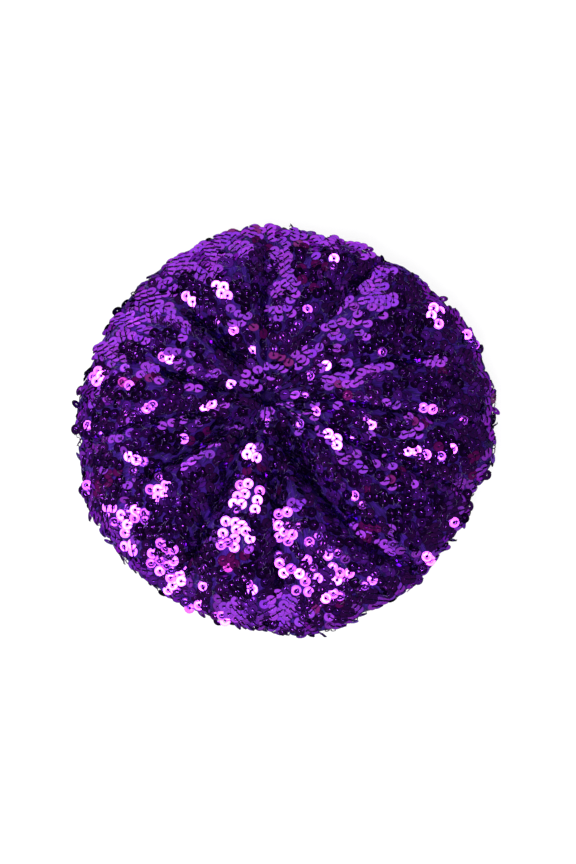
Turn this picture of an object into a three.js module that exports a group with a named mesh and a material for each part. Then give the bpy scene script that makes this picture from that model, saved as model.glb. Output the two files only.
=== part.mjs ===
// A beret of stretch sequin cloth: a soft crown gathered to one point at its top, over a plain
// elastic band round the head opening. Millimetres, +Z up. The hat rests on its band at z = 0,
// with -Y its front and the origin under the middle of its outline.
import * as THREE from "three";

// Sizes of the crown's cloth, measured on its outer face.
const RIM_RADIUS = 114.5; // mean radius of the widest line
const RIM_HEIGHT = 29; // height of that line above the surface
const CROWN_HEIGHT = 58; // height of the puffed ring round the gather point
const UNDERSIDE_HEIGHT = 12; // lowest line of the drooping underside
const CLOTH_WALL = 2; // knit and sequin backing together
const GATHER_OFFSET_X = -9; // the gather point sits off the middle, as the crown leans
const GATHER_OFFSET_Y = 11;

// Sizes of the elastic band.
const BAND_RADIUS = 79; // outer face
const BAND_HEIGHT = 20;
const BAND_WALL = 2.6;
const BAND_CORNER = 0.8; // rounding of the band's top corners
const SEAT_GAP = 0.3; // clearance between the band's top and the crown's collar

// Depths of the relief in the cloth.
const FOLD_DEPTH = 9; // deepest radial fold of the top
const FOLD_WIDTH = 8; // half width of that fold
const PLEAT_DEPTH = 1.3; // fine pleats round the gather point
const PUCKER_DEPTH = 1.5; // puckers where the underside is drawn in to the band

// How many pleats and puckers, and how fine the walls are.
const PLEAT_COUNT = 24;
const PUCKER_COUNT = 24;
const AZIMUTH_STEPS = 112;
const PROFILE_STEPS = 22;
const PROFILE_BIAS = 1.2; // above 1 the sections lie closer near the gather point
const TURN_WEIGHT = 20; // millimetres that a radian of turn counts for, so bends get more sections
const PROFILE_SAMPLES = 400; // used to measure along the profile
const BAND_STEPS = 96;

// The top from the gather point to the rim: reach is a share of RIM_RADIUS, and rise a share of
// the height from the rim's line to the top.
const TOP_SECTIONS = [
  { reach: 0, rise: 0.66 },
  { reach: 0.1, rise: 0.8 },
  { reach: 0.24, rise: 0.97 },
  { reach: 0.42, rise: 1 },
  { reach: 0.62, rise: 0.91 },
  { reach: 0.8, rise: 0.73 },
  { reach: 0.93, rise: 0.43 },
  { reach: 1, rise: 0 },
];

// The underside from the rim to the collar: reach is a share of the way from the band to the rim,
// and drop a share of the height from the rim's line to the underside's lowest line.
const UNDER_SECTIONS = [
  { reach: 0.92, drop: 0.62 },
  { reach: 0.7, drop: 1 },
  { reach: 0.42, drop: 0.86 },
  { reach: 0.16, drop: 0.42 },
  { reach: 0.03, drop: 0.3 },
];

// The rim at equal steps of azimuth from +X: how far its outline swells beyond RIM_RADIUS, as a
// share of it, and how far the soft rim droops, as a share of RIM_HEIGHT.
const RIM = [
  { azimuth: 0, swell: 0.014, droop: 0.03 },
  { azimuth: 30, swell: 0.018, droop: 0.07 },
  { azimuth: 60, swell: -0.022, droop: -0.04 },
  { azimuth: 90, swell: -0.008, droop: -0.07 },
  { azimuth: 120, swell: 0.009, droop: -0.03 },
  { azimuth: 150, swell: -0.012, droop: 0.05 },
  { azimuth: 180, swell: 0.006, droop: 0.07 },
  { azimuth: 210, swell: 0.011, droop: 0 },
  { azimuth: 240, swell: -0.004, droop: 0.04 },
  { azimuth: 270, swell: 0.013, droop: 0.1 },
  { azimuth: 300, swell: -0.002, droop: 0.02 },
  { azimuth: 330, swell: -0.015, droop: -0.05 },
];

// The folds of the cloth: their azimuth near the gather point and at their outer end, where they
// begin and end as shares of the way from the gather point to the rim, and their depth and width as
// shares of FOLD_DEPTH and FOLD_WIDTH. Those that end past 1 run over the rim. The cloth rises in a
// lip along one side of some, by a share of the fold's own depth: the side of the greater azimuth
// where lip is above 0, and the other side where it is below 0.
const FOLDS = [
  { inner: 27, outer: 19, begin: 0.1, end: 0.92, depth: 0.6, width: 0.8, lip: -0.25 },
  { inner: 62, outer: 59, begin: 0.14, end: 1.15, depth: 0.5, width: 1.1, lip: 0 },
  { inner: 97, outer: 95, begin: 0.12, end: 0.95, depth: 0.45, width: 1, lip: 0 },
  { inner: 128, outer: 131, begin: 0.1, end: 0.82, depth: 0.75, width: 1, lip: 0.12 },
  { inner: 167, outer: 158, begin: 0.06, end: 0.86, depth: 0.55, width: 0.7, lip: 0.25 },
  { inner: 187, outer: 184, begin: 0.16, end: 1.2, depth: 0.4, width: 0.9, lip: 0 },
  { inner: 210, outer: 205, begin: 0.12, end: 0.84, depth: 0.7, width: 0.9, lip: 0.15 },
  { inner: 236, outer: 238, begin: 0.05, end: 1.1, depth: 0.8, width: 0.9, lip: -0.12 },
  { inner: 270, outer: 268, begin: 0.2, end: 0.94, depth: 0.85, width: 0.7, lip: 0 },
  { inner: 285, outer: 314, begin: 0.08, end: 1.05, depth: 1, width: 1, lip: 0.35 },
  { inner: 333, outer: 338, begin: 0.14, end: 1.2, depth: 0.45, width: 1.1, lip: 0 },
  { inner: 357, outer: 359, begin: 0.04, end: 1.3, depth: 0.22, width: 0.5, lip: 0 },
];

const FOLD_FADE_IN = 0.16; // share of that way over which a fold deepens from its beginning
const FOLD_FADE_OUT = 0.34; // and shallows towards its end
const FOLD_SHARPNESS = 1.45; // 2 is a smooth hollow, 1 a sharp crease
const LIP_PLACE = 1.5; // half widths from a fold's line to the crest of its lip
const LIP_WIDTH = 0.6; // half width of the lip, in half widths of the fold
const LIP_FADE_IN = 0.4; // share of the way over which the lip rises

// Where the relief lies, as shares of the way from the gather point to the rim.
const PLEAT_BEGIN = 0.02;
const PLEAT_FULL = 0.11;
const PLEAT_END = 0.4;
const DROOP_BEGIN = 0.45; // the top begins to droop here, and the rim has all of it
const LEAN_POWER = 1.3; // above 1 the crown leans most near the gather point
const PLEAT_UNEVENNESS = 0.2; // share of PLEAT_DEPTH that comes and goes round the gather point
const PLEAT_WAVES = 5; // this many times

// And as shares of the way from the rim to the collar.
const PUCKER_BEGIN = 0.1;
const PUCKER_FULL = 0.75;
const PUCKER_LEFT = 0.3; // share of PUCKER_DEPTH that is left at the collar
const DROOP_HOLD = 0.3; // the droop fades out from here to the collar

const BAND_TOP = BAND_HEIGHT + SEAT_GAP;
const radians = THREE.MathUtils.degToRad;
const smooth = (value, low, high) => THREE.MathUtils.smoothstep(value, low, high);

// The crown's profile, from the gather point over the rim to the collar, as points (radius, height).
function crownProfile() {
  const topRise = CROWN_HEIGHT - RIM_HEIGHT;
  const underDrop = RIM_HEIGHT - UNDERSIDE_HEIGHT;
  const overhang = RIM_RADIUS - BAND_RADIUS;
  const top = TOP_SECTIONS.map(
    ({ reach, rise }) => new THREE.Vector2(reach * RIM_RADIUS, RIM_HEIGHT + rise * topRise),
  );
  const under = UNDER_SECTIONS.map(
    ({ reach, drop }) =>
      new THREE.Vector2(BAND_RADIUS + reach * overhang, RIM_HEIGHT - drop * underDrop),
  );
  const collar = new THREE.Vector2(BAND_RADIUS, BAND_TOP);
  return new THREE.SplineCurve([...top, ...under, collar]);
}

// The share of the profile's length at which it passes the rim.
function rimPlaceOn(profile) {
  const lengths = profile.getLengths(PROFILE_SAMPLES);
  const spans = profile.points.length - 1;
  const rim = Math.round((PROFILE_SAMPLES * (TOP_SECTIONS.length - 1)) / spans);
  return lengths[rim] / lengths[PROFILE_SAMPLES];
}

// Shares of the profile's length at which the sections lie, closer together where it turns.
function sectionPlaces(profile) {
  const step = profile.getLength() / PROFILE_SAMPLES;
  const efforts = [0];
  for (let k = 1; k <= PROFILE_SAMPLES; k += 1) {
    const before = profile.getTangentAt((k - 1) / PROFILE_SAMPLES);
    const turn = before.angleTo(profile.getTangentAt(k / PROFILE_SAMPLES));
    efforts.push(efforts[k - 1] + step + TURN_WEIGHT * turn);
  }
  return Array.from({ length: PROFILE_STEPS }, (_, k) => {
    const wanted = efforts[PROFILE_SAMPLES] * ((k + 1) / PROFILE_STEPS) ** PROFILE_BIAS;
    const after = efforts.findIndex((effort) => effort >= wanted - 1e-9);
    const share = (wanted - efforts[after - 1]) / (efforts[after] - efforts[after - 1]);
    return Math.min(1, (after - 1 + share) / PROFILE_SAMPLES);
  });
}

// A column of the rim's table at any azimuth, on a smooth closed curve through its rows.
function rimColumn(column, azimuth) {
  const place = (THREE.MathUtils.euclideanModulo(azimuth, 360) / 360) * RIM.length;
  const row = Math.floor(place);
  const t = place - row;
  const [a, b, c, d] = [-1, 0, 1, 2].map((k) => RIM[(row + k + RIM.length) % RIM.length][column]);
  return b + 0.5 * t * (c - a + t * (2 * a - 5 * b + 4 * c - d + t * (3 * (b - c) + d - a)));
}

// How far the cloth is pressed in by its folds, less what their lips raise it: way is 0 at the
// gather point, 1 at the rim and more on the underside.
function foldDepth(way, radius, azimuth) {
  let pressed = 0;
  let raised = 0;
  for (const fold of FOLDS) {
    const begun = smooth(way, fold.begin, fold.begin + FOLD_FADE_IN);
    const left = 1 - smooth(way, fold.end - FOLD_FADE_OUT, fold.end);
    const share = THREE.MathUtils.clamp((way - fold.begin) / (fold.end - fold.begin), 0, 1);
    const line = THREE.MathUtils.lerp(fold.inner, fold.outer, share);
    const away = THREE.MathUtils.euclideanModulo(azimuth - line + 180, 360) - 180;
    const across = (radians(away) * radius) / (fold.width * FOLD_WIDTH);
    const fromCrest = (across * Math.sign(fold.lip) - LIP_PLACE) / LIP_WIDTH;
    const depth = FOLD_DEPTH * fold.depth * begun * left;
    const lip = Math.abs(fold.lip) * smooth(way, fold.begin, fold.begin + LIP_FADE_IN);
    pressed += depth * Math.exp(-(Math.abs(across) ** FOLD_SHARPNESS));
    raised += depth * lip * Math.exp(-(fromCrest ** 2));
  }
  return Math.min(pressed, FOLD_DEPTH) - raised;
}

// Fine pleats round the gather point, raised and lowered in turn, each a little unlike the next.
function pleatHeight(way, azimuth) {
  const begun = smooth(way, PLEAT_BEGIN, PLEAT_FULL);
  const left = 1 - smooth(way, PLEAT_FULL, PLEAT_END);
  const waves = Math.sin(PLEAT_WAVES * radians(azimuth));
  const depth = PLEAT_DEPTH * (1 - PLEAT_UNEVENNESS * (1 - waves));
  return depth * begun * left * Math.cos(PLEAT_COUNT * radians(azimuth));
}

// Puckers of the underside: inward is 0 at the rim and 1 at the collar.
function puckerHeight(inward, azimuth) {
  const begun = smooth(inward, PUCKER_BEGIN, PUCKER_FULL);
  const left = 1 - (1 - PUCKER_LEFT) * smooth(inward, PUCKER_FULL, 1);
  return PUCKER_DEPTH * begun * left * Math.cos(PUCKER_COUNT * radians(azimuth));
}

// A point of the crown's wall, at a place on its profile, an azimuth and a depth below its face.
// The place holds the profile's point and outward normal, and way and inward as above.
function crownPoint({ point, normal, way, inward }, azimuth, depth) {
  const fromGather = Math.min(1, point.x / RIM_RADIUS);
  const under = way > 1;
  const relief = under ? puckerHeight(inward, azimuth) : pleatHeight(way, azimuth);
  const offset = relief - foldDepth(way, point.x, azimuth) - depth;
  const swellShare = under ? 1 - inward : fromGather ** 2;
  const droopShare = under ? 1 - smooth(inward, DROOP_HOLD, 1) : smooth(way, DROOP_BEGIN, 1);
  const lean = under ? 0 : (1 - fromGather) ** LEAN_POWER;
  const swell = rimColumn("swell", azimuth) * RIM_RADIUS * swellShare;
  const droop = rimColumn("droop", azimuth) * RIM_HEIGHT * droopShare;
  const radius = Math.max(0, point.x + normal.x * offset + swell);
  return new THREE.Vector3(
    radius * Math.cos(radians(azimuth)) + GATHER_OFFSET_X * lean,
    radius * Math.sin(radians(azimuth)) + GATHER_OFFSET_Y * lean,
    point.y + normal.y * offset - droop,
  );
}

// A closed body from rings of points that share one count, closed at each end by a pole point or
// by joining the last ring to the first.
function bodyFromRings(rings, poles) {
  const steps = rings[0].length;
  const points = rings.flat();
  const triangles = [];
  const loop = poles ? rings.length - 1 : rings.length;
  for (let k = 0; k < loop; k += 1) {
    const here = k * steps;
    const next = ((k + 1) % rings.length) * steps;
    for (let i = 0; i < steps; i += 1) {
      const j = (i + 1) % steps;
      triangles.push(here + i, next + i, next + j, here + i, next + j, here + j);
    }
  }
  if (poles) {
    const first = points.length;
    const last = first + 1;
    const end = (rings.length - 1) * steps;
    points.push(poles.first, poles.last);
    for (let i = 0; i < steps; i += 1) {
      const j = (i + 1) % steps;
      triangles.push(first, i, j, last, end + j, end + i);
    }
  }
  const geometry = new THREE.BufferGeometry().setFromPoints(points);
  geometry.setIndex(triangles);
  geometry.computeVertexNormals();
  return geometry;
}

// The crown: its outer face from the gather point to the collar, then its inner face back again.
function crownGeometry() {
  const profile = crownProfile();
  const rimPlace = rimPlaceOn(profile);
  const places = sectionPlaces(profile).map((u, k) => {
    const isLip = k === PROFILE_STEPS - 1;
    const tangent = isLip ? new THREE.Vector2(0, -1) : profile.getTangentAt(u);
    return {
      point: profile.getPointAt(u),
      normal: new THREE.Vector2(-tangent.y, tangent.x),
      way: u / rimPlace,
      inward: THREE.MathUtils.clamp((u - rimPlace) / (1 - rimPlace), 0, 1),
    };
  });
  const ringAt = (place, depth) =>
    Array.from({ length: AZIMUTH_STEPS }, (_, i) =>
      crownPoint(place, (360 * i) / AZIMUTH_STEPS, depth),
    );
  const outer = places.map((place) => ringAt(place, 0));
  const inner = places.map((place) => ringAt(place, CLOTH_WALL));
  const middle = {
    point: profile.getPoint(0),
    normal: new THREE.Vector2(0, 1),
    way: 0,
    inward: 0,
  };
  return bodyFromRings([...outer, ...inner.reverse()], {
    first: crownPoint(middle, 0, 0),
    last: crownPoint(middle, 0, CLOTH_WALL),
  });
}

// The band: a ring with a flat foot to rest on and rounded top corners.
function bandGeometry() {
  const inside = BAND_RADIUS - BAND_WALL;
  const corner = Math.min(BAND_CORNER, BAND_WALL / 3);
  const section = [
    [inside, 0],
    [BAND_RADIUS, 0],
    [BAND_RADIUS, BAND_HEIGHT / 2],
    [BAND_RADIUS, BAND_HEIGHT - corner],
    [BAND_RADIUS - corner, BAND_HEIGHT],
    [inside + corner, BAND_HEIGHT],
    [inside, BAND_HEIGHT - corner],
    [inside, BAND_HEIGHT / 2],
  ];
  const rings = section.map(([radius, height]) =>
    Array.from({ length: BAND_STEPS }, (_, i) => {
      const turn = (2 * Math.PI * i) / BAND_STEPS;
      return new THREE.Vector3(radius * Math.cos(turn), radius * Math.sin(turn), height);
    }),
  );
  return bodyFromRings(rings.reverse(), null);
}

// Materials, in the colours of the cloth as it looks under its sequins.
const sequinCloth = new THREE.MeshStandardMaterial({
  color: 0x5a1e96,
  roughness: 0.4,
  metalness: 0.6,
});
const elasticKnit = new THREE.MeshStandardMaterial({
  color: 0x3a1c78,
  roughness: 0.9,
  metalness: 0,
});

const crown = new THREE.Mesh(crownGeometry(), sequinCloth);
crown.name = "crown";

const headBand = new THREE.Mesh(bandGeometry(), elasticKnit);
headBand.name = "head_band";

// The origin lies under the middle of the outline.
const beret = new THREE.Group();
beret.add(crown, headBand);
const middle = new THREE.Box3().setFromObject(beret).getCenter(new THREE.Vector3());
beret.position.set(-middle.x, -middle.y, 0);

export default beret;
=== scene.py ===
"""A sequin beret: a crown of stretch knit gathered to a point, covered in zigzag rows of stitched
sequins, over an elastic band. Lengths are in millimetres, and meshes are made in metres."""

import math

import bpy
import numpy as np
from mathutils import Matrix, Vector


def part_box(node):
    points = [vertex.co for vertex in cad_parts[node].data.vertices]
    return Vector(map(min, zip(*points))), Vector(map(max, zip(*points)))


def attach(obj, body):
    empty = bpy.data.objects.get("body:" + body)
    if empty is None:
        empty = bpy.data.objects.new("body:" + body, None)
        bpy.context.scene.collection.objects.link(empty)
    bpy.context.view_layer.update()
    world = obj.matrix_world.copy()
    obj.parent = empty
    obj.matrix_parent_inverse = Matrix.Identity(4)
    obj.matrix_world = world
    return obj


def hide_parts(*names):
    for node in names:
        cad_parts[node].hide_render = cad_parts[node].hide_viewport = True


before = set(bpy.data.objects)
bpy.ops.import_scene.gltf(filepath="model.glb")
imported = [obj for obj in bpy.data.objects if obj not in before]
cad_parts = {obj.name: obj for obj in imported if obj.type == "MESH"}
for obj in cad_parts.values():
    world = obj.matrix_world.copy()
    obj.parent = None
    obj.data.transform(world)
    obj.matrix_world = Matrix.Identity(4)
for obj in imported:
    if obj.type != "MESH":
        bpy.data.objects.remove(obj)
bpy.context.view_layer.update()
rng = np.random.default_rng(7)

MM = 0.001
ONE_WAVE = math.pi / 10  # the wave texture's scale that gives one wave a unit

# The band's size and the middle of the hat, from the frame.
band_low, band_high = (np.array(corner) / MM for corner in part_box("head_band"))
BAND_RADIUS = (band_high[0] - band_low[0]) / 2
BAND_HEIGHT = band_high[2]
MIDDLE = (band_low + band_high)[:2] / 2

# Sizes of the crown's cloth and the band, as in the construction.
RIM_RADIUS = 114.5
RIM_HEIGHT = 29
CROWN_HEIGHT = 58
UNDERSIDE_HEIGHT = 12
CLOTH_WALL = 2
GATHER_OFFSET = (-9, 11)
BAND_WALL = 2.6
SEAT_GAP = 0.3
FOLD_DEPTH = 9
FOLD_WIDTH = 8
PLEAT_DEPTH = 1.3
PUCKER_DEPTH = 1.5
PLEAT_COUNT = 24
PUCKER_COUNT = 24

# The profile: (reach, rise) from the gather point to the rim, (reach, drop) on to the collar.
TOP_SECTIONS = [
    (0, 0.66), (0.1, 0.8), (0.24, 0.97), (0.42, 1), (0.62, 0.91), (0.8, 0.73), (0.93, 0.43), (1, 0),
]
UNDER_SECTIONS = [(0.92, 0.62), (0.7, 1), (0.42, 0.86), (0.16, 0.42), (0.03, 0.3)]
PROFILE_SAMPLES = 240

# The rim every 30 degrees from +X: (swell, droop), shares of RIM_RADIUS and RIM_HEIGHT.
RIM = [
    (0.014, 0.03), (0.018, 0.07), (-0.022, -0.04), (-0.008, -0.07), (0.009, -0.03), (-0.012, 0.05),
    (0.006, 0.07), (0.011, 0), (-0.004, 0.04), (0.013, 0.1), (-0.002, 0.02), (-0.015, -0.05),
]

# The folds: (inner azimuth, outer azimuth, begin, end, depth, width, lip). Begin and end are shares
# of the way to the rim, depth and width are shares of FOLD_DEPTH and FOLD_WIDTH, and the lip is the
# height of the puff beside the fold as a share of its depth, on the side that its sign says.
FOLDS = [
    (27, 19, 0.1, 0.92, 0.6, 0.8, -0.25),
    (62, 59, 0.14, 1.15, 0.5, 1.1, 0),
    (97, 95, 0.12, 0.95, 0.45, 1, 0),
    (128, 131, 0.1, 0.82, 0.75, 1, 0.12),
    (167, 158, 0.06, 0.86, 0.55, 0.7, 0.25),
    (187, 184, 0.16, 1.2, 0.4, 0.9, 0),
    (210, 205, 0.12, 0.84, 0.7, 0.9, 0.15),
    (236, 238, 0.05, 1.1, 0.8, 0.9, -0.12),
    (270, 268, 0.2, 0.94, 0.85, 0.7, 0),
    (285, 314, 0.08, 1.05, 1, 1, 0.35),
    (333, 338, 0.14, 1.2, 0.45, 1.1, 0),
    (357, 359, 0.04, 1.3, 0.22, 0.5, 0),
]
FOLD_FADE_IN = 0.16
FOLD_FADE_OUT = 0.34
FOLD_SHARPNESS = 1.45
LIP_PLACE = 1.5
LIP_WIDTH = 0.6
LIP_FADE_IN = 0.4
PLEAT_BEGIN = 0.02
PLEAT_FULL = 0.11
PLEAT_END = 0.4
PLEAT_UNEVENNESS = 0.2
PLEAT_WAVES = 5
DROOP_BEGIN = 0.45
DROOP_HOLD = 0.3
LEAN_POWER = 1.3
PUCKER_BEGIN = 0.1
PUCKER_FULL = 0.75
PUCKER_LEFT = 0.3

# Finer relief than the construction holds. Fades are shares of the way to the rim, or from it.
CREASE_COUNTS = (13, 19, 31)
CREASE_DEPTH = 0.34
CREASE_FADE_IN = (0.04, 0.16)
CREASE_FADE_OUT = (0.35, 0.8)
CREASE_WANDER = ((0.8, 4), (0.7, 3))  # (size in radians, waves) outwards and round
DIMPLE_DEPTH = 0.9
DIMPLE_LENGTHS = (26, 64)
DIMPLE_WAVES = 22
DIMPLE_FADE_IN = (0.1, 0.3)
FOLD_CORE_DEPTH = 5
FOLD_CORE_WIDTH = 0.35
PIT_DEPTH = 4
PIT_RADIUS = 5
RELIEF_FADE_OUT = (0.7, 1)

# Meshes of the crown and the band. A normal is taken over about as much cloth as a sequin covers.
CLOTH_COLUMNS = 420
CLOTH_ROWS = 136
LINING_ROWS = 40
NORMAL_STEP = 1.6
NORMAL_LEAST_RADIUS = 4
BAND_COLUMNS = 1080
BAND_RIBS = 180
RIB_DEPTH = 0.22
BAND_EDGE_STEPS = 7
BAND_SIDE_STEPS = 6

# One sequin. The tints are linear colours, with how metallic the film is as the fourth number.
SEQUIN_DIAMETER = 6
SEQUIN_HOLE = 1.15
HOLE_LIP = 0.05
HOLE_LIP_WIDTH = 0.4
SEQUIN_THICKNESS = 0.14
SEQUIN_DISH = 0.03
SEQUIN_RIM = 0.34
SEQUIN_SIDES = 14
RIM_RING = 3  # the mesh's rings are counted from the hole's raised edge, which is 0
FIRST_SHARP_RING = 2
PAINTED_RIM_SHADE = 0.02  # how bright a sequin's darkened edge is, as a share of its tint: partly the film's bare cut edge, mostly painted shade, a dark outline for the shadowed gaps where sequins overlap
FILM_TINT = (0.18, 0.024, 0.39, 0.985)
FILM_BRIGHTNESS = (0.82, 1.08)
FILM_REDNESS = (0.85, 1.15)
WINE_TINT = (0.12, 0.004, 0.11, 0.55)
WINE_ABOVE = 0.9  # where the patches' waves rise above this, some sequins are wine
WINE_SHARE = 0.15
CLEAR_TINT = (0.15, 0.018, 0.42, 0.76)
CLEAR_BELOW = -0.6
CLEAR_SHARES = (0.26, 0.06)  # where the waves are below CLEAR_BELOW, and elsewhere
TINT_WAVES = 12
TINT_LENGTHS = (25, 60)

# Rows that the sequins are sewn in, and the ones sewn between the rows. A clearance is the least
# distance to the sequins sewn before.
SEQUIN_PITCH = 4.1
PITCH_SPREAD = 0.12
SEQUIN_CLEARANCE = 3.45
FILL_TRIES = 14000
FILL_CLEARANCE = 4.5
MISSING_SHARE = 0.06
ROW_ENDS = (0.01, 0.99)
ROW_PITCH = 5.1
ROW_DRIFT = 0.35
ROW_SAMPLES = 4000
ZIGZAG_COUNT = 29
ZIGZAG_HEIGHT = 9.5
ZIGZAG_STRETCH = ((0.16, 2), (0.1, 5))  # (share of a zigzag, waves round)
ZIGZAG_SWELL = (0.15, 3)  # (share of the height, waves round)
FIRST_ROW = 4.5
LAST_ROW_MARGIN = 3.5
BARE_LIP = 0.3
BARE_LEAST_RISE = 1
BARE_HALF_WIDTH = 0.12

# How the sequins lie, in degrees: tilted along their row and up the cloth, with a spread for each
# leg of the zigzag and for each sequin. The wild ones, more of them at the rim, lie anyhow.
STACK_TILT = 7
TILE_TILT = 8
LEG_SPREAD = 2.8
SEQUIN_SPREAD = 1.6
WILD_SHARE = 0.1
WILD_SPREAD = 20
RIM_WILD_SHARE = 0.3
RIM_WILD_FROM = 0.88
MOST_TILT = 65
LEG_STEP = 0.6
LEG_LEAST_RADIUS = 6
LEAST_LIFT = 0.25
LEAN_LIFT = 0.85  # share of a leaning sequin's reach that lifts it clear of the cloth
MOST_LEAN = 0.75
SEQUIN_SECTORS = 5

# Threads, all four-sided. The sequin's stitch starts in its hole and ends past its edge.
THREAD_CORNERS = ((1, 1), (-1, 1), (-1, -1), (1, -1))
THREAD_RADIUS = 0.19
THREAD_RISE = 0.6
STITCH_START_DEPTH = 0.7
STITCH_HOLE_REACH = 0.1
STITCH_ARCH_PLACE = 0.45
STITCH_ARCH_HEIGHT = 0.3
STITCH_END_REACH = 0.25
STITCH_END_DEPTH = 0.8
STITCH_SLANT = 0.7
FINE_THREAD_RADIUS = 0.08
THREAD_CROSSWAYS = (0.3, 0.2, 1)
SEAM_AZIMUTH = 359
SEAM_GAP = 1.5
SEAM_FROM = 12
SEAM_TO = 128
SEAM_STITCH = 2.2
SEAM_SPACING = 1.5  # from one stitch to the next, in stitches
SEAM_WANDER = 0.15
SEAM_LIFT = (-0.1, 0.22, -0.1)
GATHER_STITCHES = 22
GATHER_FROM = 0.6
GATHER_REACH = (3.5, 7)
GATHER_WANDER = 6
GATHER_LIFT = (0.3, 0.5, -0.3)
LOOSE_ENDS = 50
LOOSE_BETWEEN = (0.2, 0.85)
LOOSE_LENGTHS = (1, 2)
LOOSE_BEND = 1.2
LOOSE_POINTS = 5
STRAY_THREADS = 2400
STRAY_RADIUS = 0.09
STRAY_LENGTHS = (1.2, 3.4)
STRAY_LIFT = (0.4, 1.5)
STRAY_REACH = 0.93
STRAY_PATH = [(-0.5, 0, -0.3), (0, 0.3, 0.25), (0.5, 0, -0.3)]

# Patches of cloth whose sequins all face one way. The way is a pair of slopes, to +X and to +Y, and
# each patch is (azimuth, share of the way to the rim, radius).
PATCHES = {
    (-0.07, -0.39): [
        (253, 0.46, 9), (251, 0.62, 10), (231, 0.85, 9), (217, 0.77, 6), (215, 0.64, 5),
        (217, 0.87, 4), (274, 0.55, 9), (277, 0.75, 11), (270, 0.66, 5), (167, 0.85, 5),
        (172, 0.7, 3), (200, 0.7, 6), (200, 0.96, 4), (324, 0.32, 6), (185, 0.28, 4),
        (66, 0.61, 3), (72, 0.75, 4), (33, 0.81, 6), (24, 0.93, 5), (116, 0.59, 5),
        (129, 0.67, 4), (358, 0.82, 3), (327, 0.92, 3), (316, 0.94, 3), (237, 0.95, 6),
        (244, 0.98, 6), (252, 0.98, 5), (249, 0.28, 4), (37, 0.3, 3),
    ],
    (-0.1, 0.36): [
        (84, 0.53, 8), (85, 0.42, 7), (47, 0.43, 9), (44, 0.51, 8), (17, 0.29, 8),
        (18, 0.37, 8), (19, 0.47, 7), (76, 0.15, 8), (54, 0.22, 6), (135, 0.11, 5),
        (46, 0.68, 6), (45, 0.6, 5), (113, 0.37, 7), (150, 0.5, 7), (162, 0.62, 6),
        (172, 0.38, 5), (348, 0.6, 6), (322, 0.61, 4),
    ],
    (-0.1, 0.56): [(107, 0.93, 8), (97, 0.92, 9), (87, 0.88, 9), (77, 0.92, 8), (66, 0.93, 9)],
    (-0.3, 0.5): [
        (141, 0.82, 10), (133, 0.79, 8), (147, 0.92, 7), (151, 0.72, 6), (123, 0.91, 8),
        (115, 0.95, 7), (158, 0.93, 5),
    ],
    (-0.06, -0.74): [(303, 0.67, 8), (307, 0.77, 7), (256, 0.9, 8), (269, 0.86, 8)],
}
PATCH_SHARE = 0.93
PATCH_SPREAD = 0.015
PATCH_MOST_TILT = 4
PATCH_MARGIN = 1
PATCH_CORE = 0.75  # share of the radius where the sequins face the patch's way fully

# The knit's pattern: how far its rows count beside its ribs, and its dye beside its streaks.
KNIT_ROW_SHARE = 0.35
KNIT_DYE_SHARE = 0.45
KNIT_DYE_RANGE = (0.52, 0.88)

# The floor and the wall that it turns up into.
FLOOR_LEVEL = -0.1
FLOOR_RINGS = (10, 1200)
WALL_RADIUS = 2200
WALL_BEND = 800
WALL_TOP = 2600
WALL_STEPS = 12
STAGE_SIDES = 128
GLOW_SCALE = (0.4, 0.4, 0.4)  # the glow's gradient ends 2.5 m from the hat

# Lamps: (name, azimuth, elevation, distance, width, height, radiance).
PANELS = [
    ("key", -15, 62, 1900, 840, 640, 10),
    ("key_core", -15, 62, 1890, 570, 430, 20),
    ("left_panel", -75, 22, 1900, 600, 420, 22),
    ("back_card", 190, 25, 1900, 1500, 1600, 1.55),
    ("side_card", 226, 16, 1900, 1000, 1000, 1.6),
    ("front_card", -6, 28, 1900, 900, 500, 1.6),
]
LAMP_TARGET = (0, 0, 30)
CAMERA_ELEVATION = 74.5
CAMERA_DISTANCE = 1134
CAMERA_TARGET = (1.4, -4.1, 30)
CAMERA_LENS = 85
CAMERA_SENSOR = 36


def smooth(value, low, high):
    """0 up to low and 1 from high on, with a soft step between."""
    t = np.clip((value - low) / (high - low), 0, 1)
    return t * t * (3 - 2 * t)


def unit(vectors):
    return vectors / np.maximum(np.linalg.norm(vectors, axis=-1, keepdims=True), 1e-9)


# The crown's shape

def catmull_rom(a, b, c, d, t):
    return b + 0.5 * t * (c - a + t * (2 * a - 5 * b + 4 * c - d + t * (3 * (b - c) + d - a)))


class Profile:
    """The section from the gather point over the rim to the collar, by share of its length."""

    def __init__(self):
        overhang = RIM_RADIUS - BAND_RADIUS
        top = [
            (reach * RIM_RADIUS, RIM_HEIGHT + rise * (CROWN_HEIGHT - RIM_HEIGHT))
            for reach, rise in TOP_SECTIONS
        ]
        under = [
            (BAND_RADIUS + reach * overhang, RIM_HEIGHT - drop * (RIM_HEIGHT - UNDERSIDE_HEIGHT))
            for reach, drop in UNDER_SECTIONS
        ]
        knots = np.array(top + under + [(BAND_RADIUS, BAND_HEIGHT + SEAT_GAP)])
        ends = np.concatenate([knots[:1], knots, knots[-1:]])
        t = np.linspace(0, 1, PROFILE_SAMPLES, endpoint=False)[:, None]
        spans = [catmull_rom(*ends[k : k + 4], t) for k in range(len(knots) - 1)]
        self.points = np.concatenate([*spans, knots[-1:]])
        lengths = path_lengths(self.points)
        self.length = lengths[-1]
        self.shares = lengths / self.length
        self.rim = self.shares[(len(TOP_SECTIONS) - 1) * PROFILE_SAMPLES]
        slope = np.gradient(self.points, lengths, axis=0)
        slope[-1] = (0, -1)
        self.slopes = slope / np.linalg.norm(slope, axis=1)[:, None]

    def at(self, u):
        """Radius and height, and the outward normal's part outwards and part upwards."""
        def read(table):
            return np.interp(u, self.shares, table)

        radius, height = read(self.points[:, 0]), read(self.points[:, 1])
        return radius, height, -read(self.slopes[:, 1]), read(self.slopes[:, 0])


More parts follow.
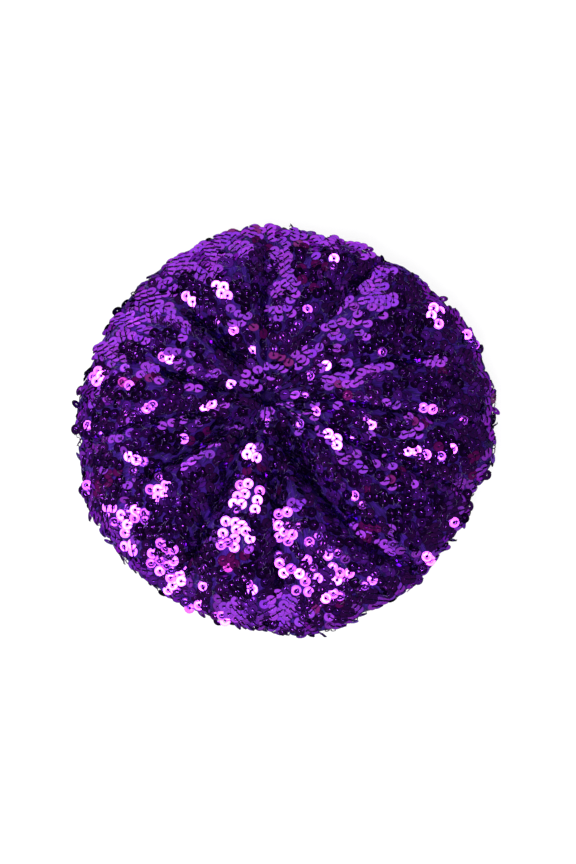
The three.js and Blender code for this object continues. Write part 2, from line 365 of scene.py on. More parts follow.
def path_lengths(path):
    """The length of a path up to each of its points."""
    return np.concatenate([[0], np.cumsum(np.linalg.norm(np.diff(path, axis=0), axis=1))])


profile = Profile()


def rim_column(column, azimuth):
    """A column of the rim's table, smoothed between its rows."""
    table = np.array(RIM)[:, column]
    place = np.mod(azimuth, 360) / 360 * len(table)
    row = np.floor(place).astype(int)
    around = [table[(row + k) % len(table)] for k in (-1, 0, 1, 2)]
    return catmull_rom(*around, place - row)


def folds_at(way, radius, azimuth):
    """For each fold: its depth here, the place across it in half widths, and its lip's height."""
    for inner, outer, begin, end, depth, width, lip in FOLDS:
        begun = smooth(way, begin, begin + FOLD_FADE_IN)
        left = 1 - smooth(way, end - FOLD_FADE_OUT, end)
        line = inner + (outer - inner) * np.clip((way - begin) / (end - begin), 0, 1)
        away = np.mod(azimuth - line + 180, 360) - 180
        across = np.radians(away) * radius / (width * FOLD_WIDTH)
        here = FOLD_DEPTH * depth * begun * left
        from_crest = (across * np.sign(lip) - LIP_PLACE) / LIP_WIDTH
        rise = here * abs(lip) * smooth(way, begin, begin + LIP_FADE_IN)
        yield here, across, rise * np.exp(-(from_crest**2))


def fold_depth(way, radius, azimuth):
    """How far the folds, with their narrow cores, press the cloth in, less what their lips raise."""
    pressed, raised, core = 0, 0, 0
    for depth, across, lip in folds_at(way, radius, azimuth):
        pressed = pressed + depth * np.exp(-(np.abs(across) ** FOLD_SHARPNESS))
        raised = raised + lip
        core = core + depth / FOLD_DEPTH * np.exp(-((across / FOLD_CORE_WIDTH) ** 2))
    return np.minimum(pressed, FOLD_DEPTH) - raised + FOLD_CORE_DEPTH * np.minimum(core, 1)


def pleat_height(way, azimuth):
    turn = np.radians(azimuth)
    begun = smooth(way, PLEAT_BEGIN, PLEAT_FULL)
    left = 1 - smooth(way, PLEAT_FULL, PLEAT_END)
    depth = PLEAT_DEPTH * (1 - PLEAT_UNEVENNESS * (1 - np.sin(PLEAT_WAVES * turn)))
    return depth * begun * left * np.cos(PLEAT_COUNT * turn)


def pucker_height(inward, azimuth):
    begun = smooth(inward, PUCKER_BEGIN, PUCKER_FULL)
    left = 1 - (1 - PUCKER_LEFT) * smooth(inward, PUCKER_FULL, 1)
    return PUCKER_DEPTH * begun * left * np.cos(PUCKER_COUNT * np.radians(azimuth))


def random_waves(count, lengths):
    """Wave vectors and phases of plane waves that add up to soft unevenness."""
    direction = rng.normal(size=(count, 3))
    direction /= np.linalg.norm(direction, axis=1)[:, None]
    length = rng.uniform(*lengths, count)
    return direction * (2 * np.pi / length)[:, None], rng.uniform(0, 2 * np.pi, count)


def sum_of_waves(points, waves, phases):
    """The waves' sum at points, scaled so that it spreads about as a normal variable does."""
    return np.sin(points @ waves.T + phases).sum(axis=-1) / math.sqrt(len(phases) / 2)


dimple_waves, dimple_phases = random_waves(DIMPLE_WAVES, DIMPLE_LENGTHS)
crease_phases = rng.uniform(0, 2 * np.pi, (len(CREASE_COUNTS), 3))


def fine_relief(radius, height, way, azimuth):
    """Creases that run outwards from the gather point, its pit, and dimples all over."""
    turn = np.radians(azimuth)
    place = np.stack([radius * np.cos(turn), radius * np.sin(turn), height], axis=-1)
    dimples = sum_of_waves(place, dimple_waves, dimple_phases)
    relief = DIMPLE_DEPTH * dimples * smooth(way, *DIMPLE_FADE_IN)
    reach = smooth(way, *CREASE_FADE_IN) * (1 - smooth(way, *CREASE_FADE_OUT))
    (size_out, waves_out), (size_round, waves_round) = CREASE_WANDER
    for count, (phase, bend, drift) in zip(CREASE_COUNTS, crease_phases):
        wander = size_out * np.sin(waves_out * way + bend)
        wander = wander + size_round * np.sin(waves_round * turn + drift)
        relief = relief + CREASE_DEPTH * reach * np.sin(count * turn + phase + wander)
    return relief - PIT_DEPTH * np.exp(-((radius / PIT_RADIUS) ** 2)) * (way < 1)


def crown_point(u, azimuth, depth=0.0):
    """Points of the crown's cloth, at shares of the profile and azimuths, a depth below its face."""
    u, azimuth = np.broadcast_arrays(np.asarray(u, float), np.asarray(azimuth, float))
    radius, height, out, up = profile.at(u)
    way = u / profile.rim
    inward = np.clip((u - profile.rim) / (1 - profile.rim), 0, 1)
    under = way > 1
    from_gather = np.minimum(1, radius / RIM_RADIUS)
    relief = np.where(under, pucker_height(inward, azimuth), pleat_height(way, azimuth))
    fine = fine_relief(radius, height, way, azimuth)
    relief = relief + fine * (1 - smooth(inward, *RELIEF_FADE_OUT))
    offset = relief - fold_depth(way, radius, azimuth) - depth
    swell = rim_column(0, azimuth) * RIM_RADIUS * np.where(under, 1 - inward, from_gather**2)
    droop_share = np.where(under, 1 - smooth(inward, DROOP_HOLD, 1), smooth(way, DROOP_BEGIN, 1))
    droop = rim_column(1, azimuth) * RIM_HEIGHT * droop_share
    lean = np.where(under, 0, (1 - from_gather) ** LEAN_POWER)
    r = np.maximum(0, radius + out * offset + swell)
    turn = np.radians(azimuth)
    x = r * np.cos(turn) + GATHER_OFFSET[0] * lean + MIDDLE[0]
    y = r * np.sin(turn) + GATHER_OFFSET[1] * lean + MIDDLE[1]
    return np.stack([x, y, height + up * offset - droop], axis=-1)


def crown_normal(u, azimuth):
    """Outward normals of the crown's cloth."""
    step_u = NORMAL_STEP / profile.length
    step_azimuth = np.degrees(NORMAL_STEP / np.maximum(profile.at(u)[0], NORMAL_LEAST_RADIUS))
    beyond = crown_point(np.minimum(u + step_u, 1), azimuth)
    before = crown_point(np.maximum(u - step_u, 0), azimuth)
    around = crown_point(u, azimuth + step_azimuth) - crown_point(u, azimuth - step_azimuth)
    return unit(np.cross(beyond - before, around))


# Making meshes

def new_piece(name, points, faces, material):
    mesh = bpy.data.meshes.new(name)
    mesh.from_pydata((points * MM).tolist(), [], faces)
    mesh.polygons.foreach_set("use_smooth", np.full(len(mesh.polygons), True))
    mesh.materials.append(material)
    piece = bpy.data.objects.new(name, mesh)
    bpy.context.scene.collection.objects.link(piece)
    return piece


def ring_faces(rings, columns, closed=False):
    """Quads between rings of points that follow each other, around a closed loop of columns."""
    k = np.arange(rings if closed else rings - 1)[:, None]
    i = np.arange(columns)[None, :]
    here, after, j = k * columns, (k + 1) % rings * columns, (i + 1) % columns
    quads = np.broadcast_arrays(here + i, after + i, after + j, here + j)
    return np.stack(quads, -1).reshape(-1, 4)


def spread_template(template, centres, axes):
    """Copies of a template's points and faces, one at each centre and frame of axes."""
    points, faces = template
    placed = centres[:, None, :] + np.einsum("pk,nkc->npc", points, axes)
    moved = faces[None] + (np.arange(len(centres)) * len(points))[:, None, None]
    return placed.reshape(-1, 3), moved.reshape(-1, 4).tolist()


# Materials

def new_material(name, sockets):
    """A material, with its shader's sockets set by name."""
    material = bpy.data.materials.new(name)
    material.use_nodes = True
    shader = material.node_tree.nodes["Principled BSDF"]
    for socket, value in sockets.items():
        shader.inputs[socket].default_value = value
    return material, shader


def add_node(owner, kind, **values):
    """A node of a material or a world, with its sockets and settings set by name."""
    node = owner.node_tree.nodes.new(kind)
    for key, value in values.items():
        if key in node.inputs:
            node.inputs[key].default_value = value
        else:
            setattr(node, key, value)
    return node


def link(owner, source, target):
    owner.node_tree.links.new(source, target)


def place_of(owner, kind):
    """A surface's place: Object in a material, and Generated in the world."""
    return add_node(owner, "ShaderNodeTexCoord").outputs[kind]


def noise(owner, place, scale, detail):
    node = add_node(owner, "ShaderNodeTexNoise", Scale=scale, Detail=detail)
    link(owner, place, node.inputs["Vector"])
    return node.outputs["Fac"]


def colour_ramp(owner, factor, low, high, begin=0.3, end=0.7):
    """A colour between two, as a factor goes from begin to end."""
    ramp = add_node(owner, "ShaderNodeValToRGB")
    for element, colour, position in zip(ramp.color_ramp.elements, (low, high), (begin, end)):
        element.color = (*colour, 1)
        element.position = position
    link(owner, factor, ramp.inputs["Fac"])
    return ramp.outputs["Color"]


def scaled(material, source, scale):
    """A vector, stretched by a scale along each axis."""
    mapping = add_node(material, "ShaderNodeMapping", Scale=scale)
    link(material, source, mapping.inputs["Vector"])
    return mapping.outputs["Vector"]


def ranged(material, factor, **limits):
    """A factor, taken from one range to another."""
    node = add_node(material, "ShaderNodeMapRange", **limits)
    link(material, factor, node.inputs["Value"])
    return node.outputs["Result"]


def mixed(material, first, share, second):
    """The first value times a share, plus the second."""
    node = add_node(material, "ShaderNodeMath", operation="MULTIPLY_ADD")
    link(material, first, node.inputs[0])
    node.inputs[1].default_value = share
    link(material, second, node.inputs[2])
    return node.outputs["Value"]


def add_bump(material, shader, height, strength, distance):
    bump = add_node(material, "ShaderNodeBump", Strength=strength, Distance=distance)
    link(material, height, bump.inputs["Height"])
    link(material, bump.outputs["Normal"], shader.inputs["Normal"])


def wave(material, place, counts, direction):
    """Waves across a place on the cloth, so many to a turn or to the profile's length."""
    node = add_node(material, "ShaderNodeTexWave", Scale=ONE_WAVE, bands_direction=direction)
    link(material, scaled(material, place, counts), node.inputs["Vector"])
    return node.outputs["Fac"]


def knit_material(name, dark, light, ribs_round, rows_along, streaks):
    """Stretch knit: fine ribs along the cloth, rows across them, and dye that is uneven in streaks."""
    material, shader = new_material(name, {
        "Roughness": 0.8,
        "Specular IOR Level": 0.12,
        "Sheen Weight": 0.05,
        "Sheen Roughness": 0.4,
        "Sheen Tint": (0.3, 0.15, 1, 1),
    })
    place = add_node(material, "ShaderNodeUVMap", uv_map="weave").outputs["UV"]
    ribs = wave(material, place, (ribs_round, 0, 0), "X")
    rows = wave(material, place, (0, rows_along, 0), "Y")
    loops = mixed(material, rows, KNIT_ROW_SHARE, ribs)
    add_bump(material, shader, loops, strength=0.9, distance=0.0004)
    dye = noise(material, place_of(material, "Object"), scale=220, detail=3)
    streak = noise(material, scaled(material, place, streaks), scale=1, detail=2)
    uneven = mixed(material, dye, KNIT_DYE_SHARE, streak)
    colour = colour_ramp(material, uneven, dark, light, *KNIT_DYE_RANGE)
    link(material, colour, shader.inputs["Base Color"])
    return material


def sequin_material():
    """Dyed metallic film. Each sequin's own tint, darkened at its rim by painted shade, and how
    metallic it is come from its mesh.
    """
    material, shader = new_material("sequin_film", {
        "Coat Weight": 0.05,
        "Coat Roughness": 0.05,
        "Specular Tint": (0.2, 0.06, 0.24, 1),
    })
    tint = add_node(material, "ShaderNodeAttribute", attribute_name="tint")
    link(material, tint.outputs["Color"], shader.inputs["Base Color"])
    link(material, tint.outputs["Alpha"], shader.inputs["Metallic"])
    rubs = noise(material, place_of(material, "Object"), scale=900, detail=2)
    worn = ranged(material, rubs, **{"To Min": 0.05, "To Max": 0.12})
    link(material, worn, shader.inputs["Roughness"])
    add_bump(material, shader, rubs, strength=0.12, distance=0.00004)
    return material


def thread_material(name, dark, light, roughness, specular):
    """Thread whose colour changes along its twist."""
    sockets = {"Roughness": roughness, "Specular IOR Level": specular}
    material, shader = new_material(name, sockets)
    twist = noise(material, place_of(material, "Object"), scale=1500, detail=1)
    link(material, colour_ramp(material, twist, dark, light), shader.inputs["Base Color"])
    return material


def paper_material():
    """Grey paper with painted light: it glows white round the hat and less further out, which washes
    out the hat's shadow.
    """
    sockets = {"Roughness": 0.9, "Emission Color": (1, 1, 1, 1)}
    material, shader = new_material("glowing_floor_paper", sockets)
    place = place_of(material, "Object")
    grain = noise(material, place, scale=40, detail=4)
    colour = colour_ramp(material, grain, (0.115, 0.115, 0.117), (0.13, 0.13, 0.13))
    link(material, colour, shader.inputs["Base Color"])
    # Painted light: a glow strongest round the hat, standing in for light that leaves the paper white
    # and without the hat's shadow.
    nearness = add_node(material, "ShaderNodeTexGradient", gradient_type="SPHERICAL")
    link(material, scaled(material, place, GLOW_SCALE), nearness.inputs["Vector"])
    glow = ranged(material, nearness.outputs["Fac"], interpolation_type="SMOOTHSTEP", **{
        "From Min": 0.1,
        "From Max": 0.62,
        "To Min": 0.05,
        "To Max": 0.9,
    })
    link(material, glow, shader.inputs["Emission Strength"])
    return material


crown_knit = knit_material(
    "crown_knit", dark=(0.003, 0.001, 0.016), light=(0.055, 0.007, 0.28),
    ribs_round=600, rows_along=260, streaks=(420, 26, 1),
)
band_knit = knit_material(
    "band_elastic", dark=(0.012, 0.003, 0.055), light=(0.025, 0.006, 0.105),
    ribs_round=180, rows_along=60, streaks=(90, 20, 1),
)
sequin_film = sequin_material()
stitch_thread = thread_material(
    "stitch_thread", (0.003, 0.001, 0.012), (0.01, 0.003, 0.035), roughness=0.5, specular=0.03
)
stray_thread = thread_material(
    "stray_thread", (0.02, 0.01, 0.06), (0.12, 0.07, 0.25), roughness=0.3, specular=0.5
)


# The crown's cloth

def add_weave(piece, round_and_along):
    """Writes each corner's place round and along the cloth, for the knit's pattern."""
    mesh = piece.data
    layer = mesh.uv_layers.new(name="weave")
    corners = np.empty(len(mesh.loops), int)
    mesh.loops.foreach_get("vertex_index", corners)
    uv = round_and_along[corners]
    sides = np.array([len(face.vertices) for face in mesh.polygons])
    starts = np.repeat(np.concatenate([[0], np.cumsum(sides)[:-1]]), sides)
    uv[:, 0] += np.round(uv[starts, 0] - uv[:, 0])
    layer.data.foreach_set("uv", uv.reshape(-1))


def make_crown():
    """The crown's face and its lining, joined at the collar and closed at the gather point."""
    azimuth = np.arange(CLOTH_COLUMNS) * 360 / CLOTH_COLUMNS
    outer_u = np.linspace(0, 1, CLOTH_ROWS + 1)[1:]
    inner_u = np.linspace(1, 0, LINING_ROWS + 1)[:-1]
    outer = crown_point(outer_u[:, None], azimuth[None, :]).reshape(-1, 3)
    inner = crown_point(inner_u[:, None], azimuth[None, :], CLOTH_WALL).reshape(-1, 3)
    poles = np.array([crown_point(0, 0), crown_point(0, 0, CLOTH_WALL)])
    points = np.concatenate([outer, inner, poles])
    rings = CLOTH_ROWS + LINING_ROWS
    faces = ring_faces(rings, CLOTH_COLUMNS).tolist()
    top_pole, lining_pole, last_ring = len(points) - 2, len(points) - 1, (rings - 1) * CLOTH_COLUMNS
    for i in range(CLOTH_COLUMNS):
        j = (i + 1) % CLOTH_COLUMNS
        faces.append((top_pole, i, j))
        faces.append((lining_pole, last_ring + j, last_ring + i))
    piece = new_piece("crown_cloth", points, faces, crown_knit)
    u = np.concatenate([outer_u, inner_u])
    weave = np.stack(np.broadcast_arrays(azimuth[None, :] / 360, u[:, None]), -1).reshape(-1, 2)
    add_weave(piece, np.concatenate([weave, [[0, 0], [0, 0]]]))
    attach(piece, "root")
    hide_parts("crown")


# The band

def make_band():
    """A ribbed elastic ring, with a rolled edge above and below."""
    inside = BAND_RADIUS - BAND_WALL
    edge = BAND_WALL / 2
    middle = (inside + BAND_RADIUS) / 2
    half_turn = np.linspace(0, np.pi, BAND_EDGE_STEPS)
    out, up = edge * np.cos(half_turn), edge * np.sin(half_turn)
    heights = np.linspace(edge, BAND_HEIGHT - edge, BAND_SIDE_STEPS)[1:-1]
    section = np.concatenate([
        np.stack([np.full(len(heights), BAND_RADIUS), heights], 1),
        np.stack([middle + out, BAND_HEIGHT - edge + up], 1),
        np.stack([np.full(len(heights), inside), heights[::-1]], 1),
        np.stack([middle - out, edge - up], 1),
    ])
    turn = np.arange(BAND_COLUMNS) * 2 * np.pi / BAND_COLUMNS
    rib = RIB_DEPTH * (np.cos(BAND_RIBS * turn) - 1)
    from_middle = section[:, 0] - middle
    side = np.sign(from_middle) * np.minimum(1, np.abs(from_middle) / edge)
    r = section[:, 0][:, None] + side[:, None] * rib[None, :]
    z = np.repeat(section[:, 1][:, None], BAND_COLUMNS, 1)
    points = np.stack([r * np.cos(turn) + MIDDLE[0], r * np.sin(turn) + MIDDLE[1], z], -1)
    faces = ring_faces(len(section), BAND_COLUMNS, closed=True)[:, ::-1].tolist()
    piece = new_piece("elastic_band", points.reshape(-1, 3), faces, band_knit)
    lengths = path_lengths(section)
    along = lengths[:, None] / lengths[-1]
    weave = np.stack(np.broadcast_arrays(turn[None, :] / (2 * np.pi), along), -1)
    add_weave(piece, weave.reshape(-1, 2))
    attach(piece, "root")
    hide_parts("head_band")


# Where the sequins are sewn

def triangle_wave(x):
    return 4 * np.abs(np.mod(x, 1) - 0.5) - 1


def row_places(middle_length, drift):
    """Where a zigzag row's sequins lie: share of the profile, azimuth, and the leg that each is on."""
    azimuth = np.linspace(0, 360, ROW_SAMPLES)
    turn = np.radians(azimuth)
    (slow, slow_waves), (quick, quick_waves) = ZIGZAG_STRETCH
    swell, swell_waves = ZIGZAG_SWELL
    phase = azimuth / 360 * ZIGZAG_COUNT + slow * np.sin(slow_waves * turn + drift)
    phase = phase + quick * np.sin(quick_waves * turn - drift)
    height = ZIGZAG_HEIGHT * (1 + swell * np.sin(swell_waves * turn + 2 * drift))
    length = middle_length + height / 2 * triangle_wave(phase)
    u = np.clip(length / profile.length, *ROW_ENDS)
    lengths = path_lengths(crown_point(u, azimuth))
    count = int(lengths[-1] / SEQUIN_PITCH)
    uneven = rng.uniform(-PITCH_SPREAD, PITCH_SPREAD, count)
    at = (np.arange(count) + uneven) * lengths[-1] / count
    u, azimuth, phase = (np.interp(at, lengths, column) for column in (u, azimuth, phase))
    return u, azimuth, np.floor(2 * phase)


def is_bare(u, azimuth):
    """Where no sequin is sewn: along the seam, and on the crest of the highest lip."""
    way, radius = u / profile.rim, profile.at(u)[0]
    bare = (np.abs(np.radians(azimuth - SEAM_AZIMUTH) * radius) < SEAM_GAP) & (way < 1)
    for (*_, lip), (_, across, rise) in zip(FOLDS, folds_at(way, radius, azimuth)):
        on_crest = (rise > BARE_LEAST_RISE) & (np.abs(across - LIP_PLACE) < BARE_HALF_WIDTH)
        bare |= (lip > BARE_LIP) & on_crest
    return bare


def places_in_rows():
    """Share of the profile, azimuth, leg and row of each sequin in the zigzag rows."""
    parts = []
    last = profile.length - LAST_ROW_MARGIN
    for row, middle in enumerate(np.arange(FIRST_ROW, last, ROW_PITCH)):
        u, azimuth, leg = row_places(middle, ROW_DRIFT * row)
        inside = (u * profile.length > FIRST_ROW) & (u * profile.length < last)
        inside &= ~is_bare(u, azimuth)
        parts.append(np.stack([u, azimuth, leg, np.full(len(u), row)])[:, inside])
    return np.concatenate(parts, 1)


def places_between(row):
    """The same for sequins tried all over, each a leg of its own in a further row."""
    u = rng.uniform(FIRST_ROW, profile.length - LAST_ROW_MARGIN, FILL_TRIES) / profile.length
    azimuth = rng.uniform(0, 360, FILL_TRIES)
    free = (rng.random(FILL_TRIES) < profile.at(u)[0] / RIM_RADIUS) & ~is_bare(u, azimuth)
    count = free.sum()
    return np.stack([u[free], azimuth[free], np.arange(count), np.full(count, row)])


def thin_out(points, clearances):
    """Keeps the points that lie clear, each by its own clearance, of every point kept before them."""
    cells, kept = {}, []
    keys = np.floor(points / clearances.max()).astype(int)
    near = [(x, y, z) for x in (-1, 0, 1) for y in (-1, 0, 1) for z in (-1, 0, 1)]
    for k, (point, key) in enumerate(zip(points, keys)):
        beside = [cells.get((key[0] + x, key[1] + y, key[2] + z), ()) for x, y, z in near]
        around = [n for cell in beside for n in cell]
        if around and (np.linalg.norm(points[around] - point, axis=1) < clearances[k]).any():
            continue
        cells.setdefault(tuple(key), []).append(k)
        kept.append(k)
    return np.array(kept)


def sewn_places():
    """Share of the profile, azimuth, leg and row of each sequin that is sewn and still there."""
    in_rows = places_in_rows()
    between = places_between(in_rows[3].max() + 1)
    places = np.concatenate([in_rows, between], 1)
    counts = (in_rows.shape[1], between.shape[1])
    clearances = np.repeat((SEQUIN_CLEARANCE, FILL_CLEARANCE), counts)
    kept = thin_out(crown_point(places[0], places[1]), clearances)
    return places[:, kept[rng.random(len(kept)) > MISSING_SHARE]]


# How each sequin lies

def leg_axes(points, normal, u, azimuth, leg):
    """Directions in the cloth, along each sequin's leg of the zigzag and across it."""
    radius = np.maximum(profile.at(u)[0], LEG_LEAST_RADIUS)
    rising = np.where(leg % 2 == 0, -1.0, 1.0)
    slope = rising * 2 * ZIGZAG_HEIGHT * ZIGZAG_COUNT / (2 * np.pi * radius)
    step = LEG_STEP / np.sqrt(1 + slope**2)
    ahead_u = np.clip(u + step * slope / profile.length, 0, 1)
    along = unit(crown_point(ahead_u, azimuth + np.degrees(step / radius)) - points)
    across = unit(np.cross(normal, along))
    return np.cross(across, normal), across


def face_patches(points, facing, own_tilt):
    """Turns the sequins of each patch to the patch's own direction, apart from their own spread."""
    own_slope = np.tan(np.radians(np.clip(own_tilt, -PATCH_MOST_TILT, PATCH_MOST_TILT)))
    for slopes, patches in PATCHES.items():
        for azimuth, way, radius in patches:
            away = np.linalg.norm(points - crown_point(way * profile.rim, azimuth), axis=1)
            share = 1 - smooth(away, PATCH_CORE * radius + PATCH_MARGIN, radius + PATCH_MARGIN)
            share = share * (rng.random(len(points)) < PATCH_SHARE)
            turned = own_slope + slopes + rng.normal(0, PATCH_SPREAD, 2)
            turned = unit(np.column_stack([turned, np.ones(len(points))]))
            facing = unit(facing * (1 - share[:, None]) + turned * share[:, None])
    return facing


def sequin_frames():
    """Every sequin's centre, its axes (forward, sideways and its own normal) and its azimuth."""
    u, azimuth, leg, row = sewn_places()
    points = crown_point(u, azimuth)
    normal = crown_normal(u, azimuth)
    along, across = leg_axes(points, normal, u, azimuth, leg)
    uphill = unit(crown_point(np.maximum(u - 1 / profile.length, 0), azimuth) - points)
    legs, its_leg = np.unique(row * FILL_TRIES + leg, return_inverse=True)
    leg_tilt = rng.normal(0, LEG_SPREAD, (len(legs), 2))[its_leg]
    own_tilt = rng.normal(0, SEQUIN_SPREAD, (len(u), 2))
    at_rim = smooth(u / profile.rim, RIM_WILD_FROM, 1)
    wild = rng.random(len(u)) < WILD_SHARE + RIM_WILD_SHARE * at_rim
    own_tilt[wild] += rng.normal(0, WILD_SPREAD, (wild.sum(), 2))
    tilt = np.radians(np.clip(leg_tilt + own_tilt + (-STACK_TILT, 0), -MOST_TILT, MOST_TILT))
    facing = normal + np.tan(tilt[:, :1]) * along + np.tan(tilt[:, 1:]) * across
    facing = unit(facing + math.tan(math.radians(TILE_TILT)) * uphill)
    facing = face_patches(points, facing, own_tilt)
    forward = unit(along - (along * facing).sum(1)[:, None] * facing)
    sideways = np.cross(facing, forward)
    lean = np.sqrt(np.maximum(0, 1 - (facing * normal).sum(1) ** 2))
    lift = LEAST_LIFT + SEQUIN_DIAMETER / 2 * np.minimum(lean, MOST_LEAN) * LEAN_LIFT
    centres = points + normal * lift[:, None]
    return centres, np.stack([forward, sideways, facing], 1), np.mod(azimuth, 360)


# Sequins and threads

def sequin_template():
    """A disc with a hole: the hole's raised edge, its foot, the rim's inside and outside, and the
    hole's lower edge."""
    turn = np.arange(SEQUIN_SIDES) * 2 * np.pi / SEQUIN_SIDES
    half = SEQUIN_THICKNESS / 2
    rings = [
        (SEQUIN_HOLE / 2, half + HOLE_LIP),
        (SEQUIN_HOLE / 2 + HOLE_LIP_WIDTH, half),
        (SEQUIN_DIAMETER / 2 - SEQUIN_RIM, half + SEQUIN_DISH),
        (SEQUIN_DIAMETER / 2, half + SEQUIN_DISH),
        (SEQUIN_HOLE / 2, -half),
    ]
    points = np.array([(r * np.cos(a), r * np.sin(a), z) for r, z in rings for a in turn])
    return points, ring_faces(len(rings), SEQUIN_SIDES, closed=True)


def tube_faces(rings):
    """Quads round a tube of four-sided rings, closed at both ends."""
    last = 4 * (rings - 1)
    ends = [[3, 2, 1, 0], [last, last + 1, last + 2, last + 3]]
    return np.concatenate([ring_faces(rings, 4), ends])


def stitch_template():
    """A stitch up through the hole, in an arch over the sequin's edge, and down into the cloth. Its
    path has each point's reach and height, and the direction of the thread's upper side there."""
    edge = SEQUIN_DIAMETER / 2
    over = SEQUIN_THICKNESS / 2 + THREAD_RADIUS * THREAD_RISE
    path = [
        ((0, -STITCH_START_DEPTH), (-1, 0)),
        ((STITCH_HOLE_REACH, over), (-STITCH_SLANT, STITCH_SLANT)),
        ((edge * STITCH_ARCH_PLACE, over + STITCH_ARCH_HEIGHT), (0, 1)),
        ((edge, over + SEQUIN_DISH), (STITCH_SLANT, STITCH_SLANT)),
        ((edge + STITCH_END_REACH, -STITCH_END_DEPTH), (1, 0)),
    ]
    points = np.array([
        (x + THREAD_RADIUS * q * px, THREAD_RADIUS * p, z + THREAD_RADIUS * q * pz)
        for (x, z), (px, pz) in path
        for p, q in THREAD_CORNERS
    ])
    return points, tube_faces(len(path))


def stray_template():
    """A length of thread along X, 1 long, that bends a little sideways and upwards."""
    points = np.array([
        (x, y + STRAY_RADIUS * p, z + STRAY_RADIUS * q)
        for x, y, z in STRAY_PATH
        for p, q in THREAD_CORNERS
    ])
    return points, tube_faces(len(STRAY_PATH))


def thread_along(path):
    """Four points of thread round each point of a path."""
    ahead = unit(np.gradient(path, axis=0))
    side = unit(np.cross(ahead, THREAD_CROSSWAYS))
    other = np.cross(ahead, side)
    ring = [path + FINE_THREAD_RADIUS * (a * side + b * other) for a, b in THREAD_CORNERS]
    return np.stack(ring, 1).reshape(-1, 3)


def cloth_path(lengths, azimuth, lift):
    """Points over the cloth, at lengths along the profile, one azimuth and the heights in lift."""
    u = np.array(lengths) / profile.length
    return crown_point(u, azimuth) + crown_normal(u, azimuth) * np.array(lift)[:, None]


def loose_end():
    """The path of a thread end that stands up from the cloth and bends over."""
    u = rng.uniform(*LOOSE_BETWEEN) * profile.rim
    azimuth = rng.uniform(0, 360)
    drift = rng.normal(0, 1, 3)
    reach = rng.uniform(*LOOSE_LENGTHS)
    t = np.linspace(0, 1, LOOSE_POINTS)[:, None]
    bent = t * crown_normal(u, azimuth) + t**2 * LOOSE_BEND * drift
    return crown_point(u, azimuth) + reach * bent


def fine_threads():
    """The seam's stitches, the ones that draw the gather point together, and loose ends."""
    paths = []
    for length in np.arange(SEAM_FROM, SEAM_TO, SEAM_STITCH * SEAM_SPACING):
        ends = (length, length + SEAM_STITCH / 2, length + SEAM_STITCH)
        paths.append(cloth_path(ends, SEAM_AZIMUTH + rng.normal(0, SEAM_WANDER), SEAM_LIFT))
    for azimuth in np.arange(GATHER_STITCHES) * 360 / GATHER_STITCHES:
        reach = rng.uniform(*GATHER_REACH)
        azimuth = azimuth + rng.uniform(-GATHER_WANDER, GATHER_WANDER)
        paths.append(cloth_path((GATHER_FROM, reach / 2, reach), azimuth, GATHER_LIFT))
    paths += [loose_end() for _ in range(LOOSE_ENDS)]
    points, faces, first = [], [], 0
    for path in paths:
        points.append(thread_along(path))
        faces += (tube_faces(len(path)) + first).tolist()
        first += len(points[-1])
    return np.concatenate(points), faces


def stray_threads():
    """Short lengths of thread that cross the cloth and its sequins every way."""
    u = np.sqrt(rng.random(STRAY_THREADS)) * profile.rim * STRAY_REACH
    azimuth = rng.uniform(0, 360, STRAY_THREADS)
    normal = crown_normal(u, azimuth)
    along = unit(np.cross(normal, rng.normal(size=(STRAY_THREADS, 3))))
    across = np.cross(normal, along)
    centres = crown_point(u, azimuth) + normal * rng.uniform(*STRAY_LIFT, (STRAY_THREADS, 1))
    along = along * rng.uniform(*STRAY_LENGTHS, (STRAY_THREADS, 1))
    return spread_template(stray_template(), centres, np.stack([along, across, normal], 1))


def sequin_tints(centres):
    """Each sequin's tint: most are plain film, and in patches some are wine or clearer."""
    count = len(centres)
    tints = np.tile(FILM_TINT, (count, 1))
    tints[:, :3] *= rng.uniform(*FILM_BRIGHTNESS, (count, 1))
    tints[:, 0] *= rng.uniform(*FILM_REDNESS, count)
    patches = sum_of_waves(centres, *random_waves(TINT_WAVES, TINT_LENGTHS))
    tints[(patches > WINE_ABOVE) & (rng.random(count) < WINE_SHARE)] = WINE_TINT
    tints[rng.random(count) < np.where(patches < CLEAR_BELOW, *CLEAR_SHARES)] = CLEAR_TINT
    return tints


def finish_film(mesh, tints, template_size):
    """Gives every sequin its tint, darkened at the rim by painted shade for the gaps where sequins
    overlap, and sharp edges round its rim and hole.
    """
    colours = mesh.color_attributes.new("tint", "FLOAT_COLOR", "POINT")
    tints = np.repeat(tints, template_size, 0)
    # Painted shade: each sequin's outer ring is darkened to a sliver of its tint, drawing the shadowed
    # gaps where sequins overlap.
    painted_shade_ring = np.arange(len(tints)) % template_size // SEQUIN_SIDES == RIM_RING
    tints[painted_shade_ring, :3] *= PAINTED_RIM_SHADE
    colours.data.foreach_set("color", tints.ravel())
    ends = np.empty(len(mesh.edges) * 2, int)
    mesh.edges.foreach_get("vertices", ends)
    start, end = (ends.reshape(-1, 2) % template_size // SEQUIN_SIDES).T
    sharp = mesh.attributes.new("sharp_edge", "BOOLEAN", "EDGE")
    sharp.data.foreach_set("value", (start == end) & (start >= FIRST_SHARP_RING))


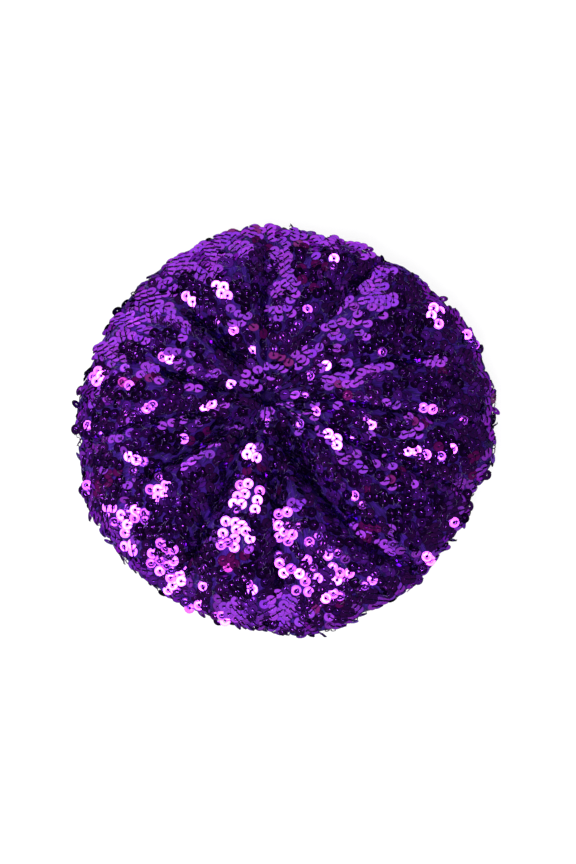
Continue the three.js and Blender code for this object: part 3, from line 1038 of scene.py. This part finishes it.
def make_sequins():
    centres, axes, azimuth = sequin_frames()
    tints = sequin_tints(centres)
    template = sequin_template()
    sector = np.floor(azimuth / (360 / SEQUIN_SECTORS)).astype(int)
    pieces = []
    for k in range(SEQUIN_SECTORS):
        mine = sector == k
        points, faces = spread_template(template, centres[mine], axes[mine])
        piece = new_piece(f"sequins_{k + 1}", points, faces, sequin_film)
        finish_film(piece.data, tints[mine], len(template[0]))
        pieces.append(piece)
    stitches = spread_template(stitch_template(), centres, axes)
    pieces.append(new_piece("sequin_stitches", *stitches, stitch_thread))
    pieces.append(new_piece("fine_threads", *fine_threads(), stitch_thread))
    pieces.append(new_piece("stray_threads", *stray_threads(), stray_thread))
    for piece in pieces:
        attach(piece, "root")


# The stage, the lights and the camera

def make_stage():
    """A floor, made pale by its painted glow, that turns up into a round wall, open above."""
    quarter = np.linspace(0, np.pi / 2, WALL_STEPS)
    section = [(r, FLOOR_LEVEL) for r in FLOOR_RINGS]
    section += [
        (WALL_RADIUS + WALL_BEND * np.sin(a), WALL_BEND * (1 - np.cos(a)) + FLOOR_LEVEL)
        for a in quarter
    ]
    section.append((WALL_RADIUS + WALL_BEND, WALL_TOP))
    turn = np.arange(STAGE_SIDES) * 2 * np.pi / STAGE_SIDES
    points = np.array([(r * np.cos(a), r * np.sin(a), z) for r, z in section for a in turn])
    faces = ring_faces(len(section), STAGE_SIDES)[:, ::-1].tolist()
    faces.append(list(range(STAGE_SIDES)))
    new_piece("stage", points, faces, paper_material())


def towards(azimuth, elevation):
    """The direction from the hat, with azimuth 0 in front of it and 90 on its right."""
    a, e = math.radians(azimuth), math.radians(elevation)
    return np.array([math.sin(a) * math.cos(e), -math.cos(a) * math.cos(e), math.sin(e)])


def look_at_hat(thing, azimuth, elevation, distance, target):
    """Places a lamp or the camera at an angle and a distance from a target, and turns it to it."""
    back = towards(azimuth, elevation)
    thing.location = (np.array(target) + back * distance) * MM
    thing.rotation_euler = Vector(back).to_track_quat("Z", "Y").to_euler()


def add_panel(name, azimuth, elevation, distance, width, height, radiance):
    """A flat lamp that faces the hat. Its energy follows from how bright it looks."""
    lamp = bpy.data.lights.new(name, "AREA")
    lamp.shape = "RECTANGLE"
    lamp.size, lamp.size_y = width * MM, height * MM
    lamp.energy = 4 * radiance * lamp.size * lamp.size_y
    holder = bpy.data.objects.new(name, lamp)
    bpy.context.scene.collection.objects.link(holder)
    look_at_hat(holder, azimuth, elevation, distance, LAMP_TARGET)


def make_lights():
    """The lamps, and a dark room with soft violet cloud for the film to mirror."""
    for panel in PANELS:
        add_panel(*panel)
    world = bpy.data.worlds.new("dark_room")
    world.use_nodes = True
    cloud = noise(world, place_of(world, "Generated"), scale=5, detail=2)
    dark, light = (0.008, 0.005, 0.013), (0.22, 0.14, 0.33)
    colour = colour_ramp(world, cloud, dark, light, begin=0.51, end=0.66)
    link(world, colour, world.node_tree.nodes["Background"].inputs["Color"])
    bpy.context.scene.world = world


def make_camera():
    data = bpy.data.cameras.new("camera")
    data.lens = CAMERA_LENS
    data.sensor_width = CAMERA_SENSOR
    camera = bpy.data.objects.new("camera", data)
    bpy.context.scene.collection.objects.link(camera)
    look_at_hat(camera, 0, CAMERA_ELEVATION, CAMERA_DISTANCE, CAMERA_TARGET)
    bpy.context.scene.camera = camera


make_camera()
make_lights()
make_stage()
make_crown()
make_band()
make_sequins()

bpy.context.scene.view_settings.view_transform = "Standard"
